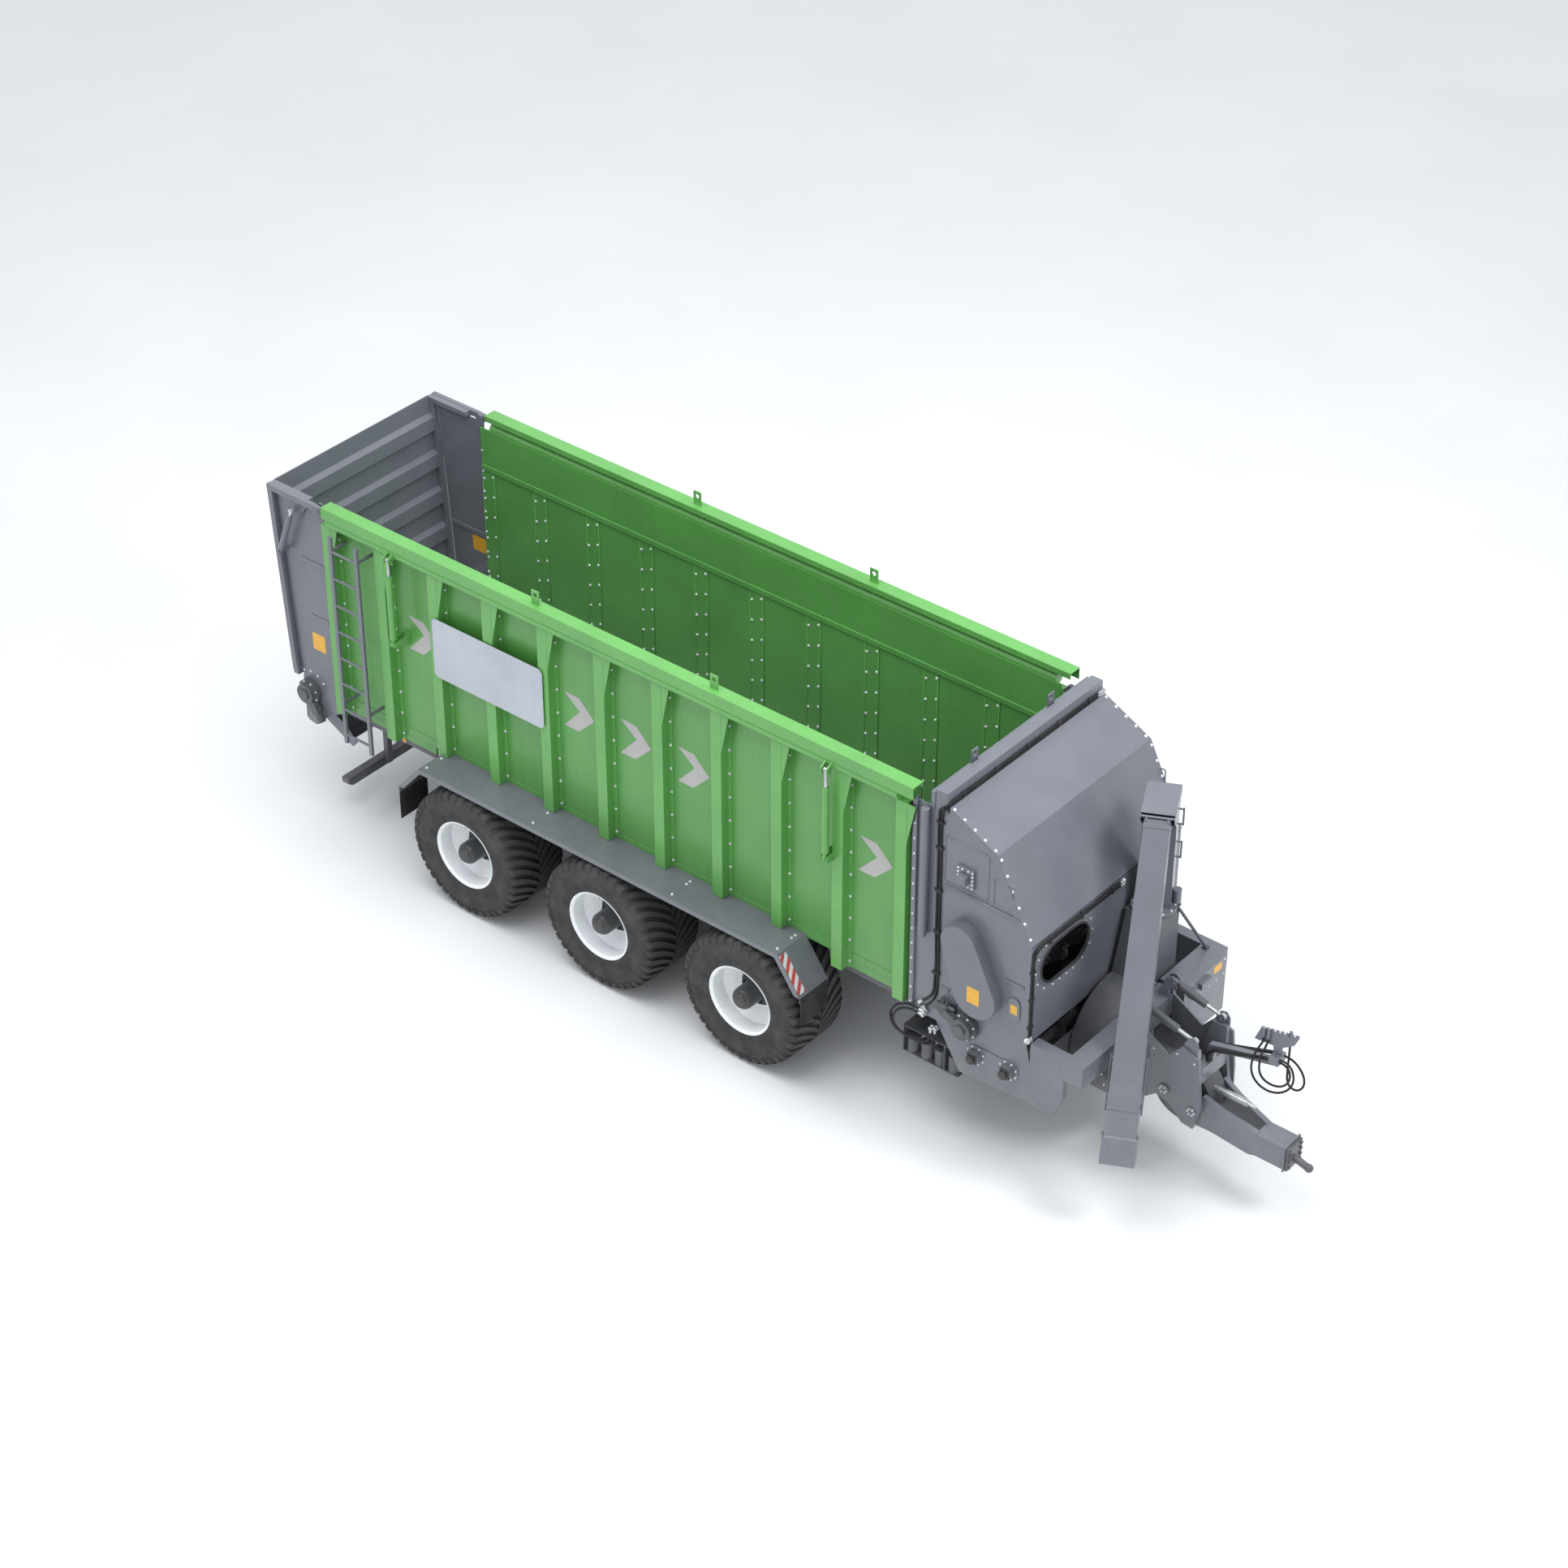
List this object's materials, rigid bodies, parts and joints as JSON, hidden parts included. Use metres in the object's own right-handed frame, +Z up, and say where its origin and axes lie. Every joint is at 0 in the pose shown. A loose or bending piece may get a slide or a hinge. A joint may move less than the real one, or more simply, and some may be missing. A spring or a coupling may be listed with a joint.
{
  "type": "forage transfer wagon",
  "caption": "Three-axle transfer wagon with a green load box, moving floor, tailgate, milling rollers, cross augers, blower with a folding chute, and a sprung drawbar.",
  "frame": {"origin": "on the ground, under the centre line, half way along the wagon", "axes": "+X forward to the hitch, +Y to the wagon's left, +Z up"},
  "size_m": [11.37, 2.97, 3.8419],
  "materials": {
    "green_panel": "satin",
    "green_bright": "satin",
    "grey_paint": "satin",
    "dark_steel": "satin",
    "bright_steel": "brushed",
    "rim_white": "gloss",
    "tyre": "matte",
    "rubber": "matte",
    "board_white": "satin"
  },
  "bodies": {
    "wagon": {"chassis_frame": "dark_steel", "suspension": "dark_steel", "hopper_floor": "dark_steel", "floor_chain": "bright_steel", "side_wall_right": "green_panel", "side_wall_left": "green_panel", "side_posts_right": "green_bright", "side_posts_left": "green_bright", "side_rail_left": "green_bright", "ladder": "grey_paint", "fenders": "grey_paint", "mud_flaps": "rubber", "number_boards": "board_white", "rear_frame": "grey_paint", "mill_housing": "grey_paint", "hood": "grey_paint", "header_beam": "grey_paint", "trough": "dark_steel", "chain_case": "grey_paint", "drive_boxes": "grey_paint", "front_frame": "grey_paint", "blower_housing": "grey_paint", "tank": "grey_paint", "accumulators": "dark_steel", "hydraulic_lines": "rubber"},
    "rail_right": {"side_rail_right": "green_bright"},
    "lift_barrels": {"lift_barrels": "green_bright"},
    "lift_rods": {"lift_rods": "bright_steel"},
    "tailgate": {"tailgate": "grey_paint"},
    "gate_barrels": {"gate_barrels": "grey_paint"},
    "gate_rods": {"gate_rods": "bright_steel"},
    "roller_upper": {"roller_upper": "dark_steel"},
    "roller_lower": {"roller_lower": "dark_steel"},
    "auger_rear": {"auger_rear": "dark_steel"},
    "auger_front": {"auger_front": "dark_steel"},
    "floor_shaft_front": {"floor_shaft_front": "bright_steel"},
    "floor_shaft_rear": {"floor_shaft_rear": "bright_steel"},
    "blower_rotor": {"blower_rotor": "dark_steel"},
    "turret_duct": {"turret_duct": "grey_paint"},
    "chute": {"chute": "grey_paint"},
    "chute_flap": {"chute_flap": "grey_paint"},
    "drawbar": {"drawbar": "grey_paint", "coupling": "dark_steel", "hose_arm": "grey_paint", "rack_hoses": "rubber"},
    "ram_barrels": {"ram_barrels": "grey_paint"},
    "ram_rods": {"ram_rods": "bright_steel"},
    "pto_shaft": {"pto_shaft": "bright_steel"},
    "wheel_rear_right": {"rim_rear_right": "rim_white", "tyre_rear_right": "tyre"},
    "wheel_mid_right": {"rim_mid_right": "rim_white", "tyre_mid_right": "tyre"},
    "wheel_front_right": {"rim_front_right": "rim_white", "tyre_front_right": "tyre"},
    "wheel_rear_left": {"rim_rear_left": "rim_white", "tyre_rear_left": "tyre"},
    "wheel_mid_left": {"rim_mid_left": "rim_white", "tyre_mid_left": "tyre"},
    "wheel_front_left": {"rim_front_left": "rim_white", "tyre_front_left": "tyre"}
  },
  "joints": [
    {"name": "wheel_rear_right_spin", "type": "hinge", "parent": "wagon", "child": "wheel_rear_right", "pos_m": [-2.98, 0, 0.69], "axis": [0, 1, 0], "continuous": true},
    {"name": "wheel_mid_right_spin", "type": "hinge", "parent": "wagon", "child": "wheel_mid_right", "pos_m": [-1.257, 0, 0.69], "axis": [0, 1, 0], "continuous": true},
    {"name": "wheel_front_right_spin", "type": "hinge", "parent": "wagon", "child": "wheel_front_right", "pos_m": [0.466, 0, 0.69], "axis": [0, 1, 0], "continuous": true},
    {"name": "wheel_rear_left_spin", "type": "hinge", "parent": "wagon", "child": "wheel_rear_left", "pos_m": [-2.98, 0, 0.69], "axis": [0, 1, 0], "continuous": true},
    {"name": "wheel_mid_left_spin", "type": "hinge", "parent": "wagon", "child": "wheel_mid_left", "pos_m": [-1.257, 0, 0.69], "axis": [0, 1, 0], "continuous": true},
    {"name": "wheel_front_left_spin", "type": "hinge", "parent": "wagon", "child": "wheel_front_left", "pos_m": [0.466, 0, 0.69], "axis": [0, 1, 0], "continuous": true},
    {"name": "rail_right_tilt", "type": "hinge", "parent": "wagon", "child": "rail_right", "pos_m": [0, -1.13, 3.54], "axis": [1, 0, 0], "range_deg": [0, 35]},
    {"name": "lift_barrels_swing", "type": "hinge", "parent": "wagon", "child": "lift_barrels", "pos_m": [0, -1.226, 2.56], "axis": [1, 0, 0], "range_deg": [-2.7, 0]},
    {"name": "lift_rods_slide", "type": "slide", "parent": "lift_barrels", "child": "lift_rods", "axis": [0, 0, 1], "range_m": [-0.048, 0]},
    {"name": "tailgate_swing", "type": "hinge", "parent": "wagon", "child": "tailgate", "pos_m": [-5.01, 0, 3.6], "axis": [0, 1, 0], "range_deg": [0, 60]},
    {"name": "gate_barrels_swing", "type": "hinge", "parent": "wagon", "child": "gate_barrels", "pos_m": [-5.524, 0, 2.967], "axis": [0, 1, 0], "range_deg": [-3.1, 0]},
    {"name": "gate_rods_slide", "type": "slide", "parent": "gate_barrels", "child": "gate_rods", "axis": [0.3588, 0, 0.9334], "range_m": [0, 0.322]},
    {"name": "roller_lower_spin", "type": "hinge", "parent": "wagon", "child": "roller_lower", "pos_m": [2.9, 0, 1.84], "axis": [0, 1, 0], "continuous": true},
    {"name": "roller_upper_spin", "type": "hinge", "parent": "wagon", "child": "roller_upper", "pos_m": [2.72, 0, 2.3], "axis": [0, 1, 0], "continuous": true},
    {"name": "auger_rear_spin", "type": "hinge", "parent": "wagon", "child": "auger_rear", "pos_m": [2.868, 0, 1.103], "axis": [0, 1, 0], "continuous": true},
    {"name": "auger_front_spin", "type": "hinge", "parent": "wagon", "child": "auger_front", "pos_m": [3.221, 0, 1.118], "axis": [0, 1, 0], "continuous": true},
    {"name": "floor_shaft_front_spin", "type": "hinge", "parent": "wagon", "child": "floor_shaft_front", "pos_m": [2.76, 0, 1.39], "axis": [0, 1, 0], "continuous": true},
    {"name": "floor_shaft_rear_spin", "type": "hinge", "parent": "wagon", "child": "floor_shaft_rear", "pos_m": [-5.35, 0, 1.39], "axis": [0, 1, 0], "continuous": true},
    {"name": "blower_rotor_spin", "type": "hinge", "parent": "wagon", "child": "blower_rotor", "pos_m": [3.6, 0.027, 1.065], "axis": [1, 0, 0], "continuous": true},
    {"name": "turret_slew", "type": "hinge", "parent": "wagon", "child": "turret_duct", "pos_m": [3.618, 0.412, 2.24], "axis": [0, 0, 1], "range_deg": [0, 14]},
    {"name": "chute_fold", "type": "hinge", "parent": "turret_duct", "child": "chute", "pos_m": [3.73344, 0.19025, 3.35], "axis": [-0.887, -0.4618, 0], "range_deg": [0, 75]},
    {"name": "chute_flap_tilt", "type": "hinge", "parent": "chute", "child": "chute_flap", "pos_m": [4.37952, -1.05087, 0.98249], "axis": [0.887, 0.4618, 0], "range_deg": [0, 60]},
    {"name": "drawbar_pitch", "type": "hinge", "parent": "wagon", "child": "drawbar", "pos_m": [4.297, 0, 0.956], "axis": [0, 1, 0], "range_deg": [-3, 3]},
    {"name": "ram_barrels_swing", "type": "hinge", "parent": "wagon", "child": "ram_barrels", "pos_m": [4.03, 0, 1.7], "axis": [0, 1, 0], "range_deg": [-0.5, 0.5]},
    {"name": "ram_rods_slide", "type": "slide", "parent": "ram_barrels", "child": "ram_rods", "axis": [0.9688, 0, -0.248], "range_m": [-0.0345, 0.0345]},
    {"name": "pto_shaft_spin", "type": "hinge", "parent": "wagon", "child": "pto_shaft", "pos_m": [4.385, 0, 0.98], "axis": [1, 0, 0], "continuous": true}
  ],
  "couplings": [
    {"joint": "lift_barrels_swing", "follows": "rail_right_tilt", "ratio": -0.074},
    {"joint": "lift_rods_slide", "follows": "rail_right_tilt", "m_per_rad": -0.0768},
    {"joint": "gate_barrels_swing", "follows": "tailgate_swing", "ratio": -0.051},
    {"joint": "gate_rods_slide", "follows": "tailgate_swing", "m_per_rad": 0.3062},
    {"joint": "roller_upper_spin", "follows": "roller_lower_spin", "ratio": 1},
    {"joint": "auger_front_spin", "follows": "auger_rear_spin", "ratio": 1},
    {"joint": "floor_shaft_rear_spin", "follows": "floor_shaft_front_spin", "ratio": 1},
    {"joint": "ram_barrels_swing", "follows": "drawbar_pitch", "ratio": 0.14},
    {"joint": "ram_rods_slide", "follows": "drawbar_pitch", "m_per_rad": 0.6546}
  ]
}
